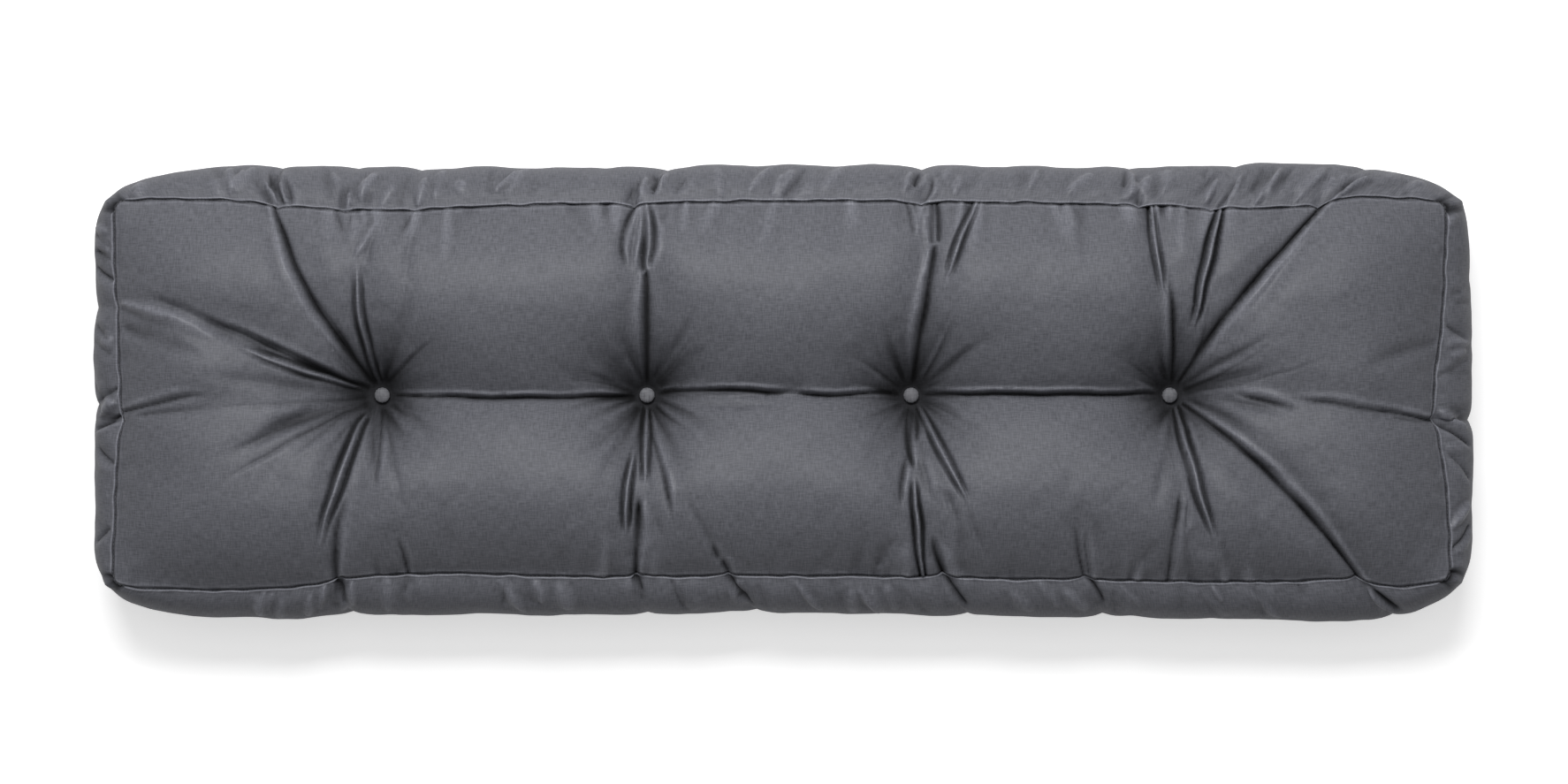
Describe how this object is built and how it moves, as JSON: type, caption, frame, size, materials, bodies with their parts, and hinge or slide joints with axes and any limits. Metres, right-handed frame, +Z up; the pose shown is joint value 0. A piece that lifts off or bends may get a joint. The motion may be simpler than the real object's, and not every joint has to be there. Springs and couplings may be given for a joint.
{
  "type": "tufted bench cushion",
  "caption": "Long boxed bench cushion in plain grey cloth, its top panel drawn down by a row of covered buttons into deep tufts.",
  "frame": {"origin": "on the surface that the cushion rests on, under the middle of its length and depth", "axes": "+X along the length, to the right in the picture; +Y across the depth, to the top of the picture; +Z up, out of the tufted face"},
  "size_m": [1.192, 0.3962, 0.1417],
  "materials": {
    "cushion_cloth": "dark grey plain-weave cotton cloth, matt with a slight sheen",
    "button_cloth": "the same grey cloth stretched over a button mould"
  },
  "bodies": {
    "root": {"cushion": "cushion_cloth", "button_1": "button_cloth", "button_2": "button_cloth", "button_3": "button_cloth", "button_4": "button_cloth"}
  },
  "joints": []
}
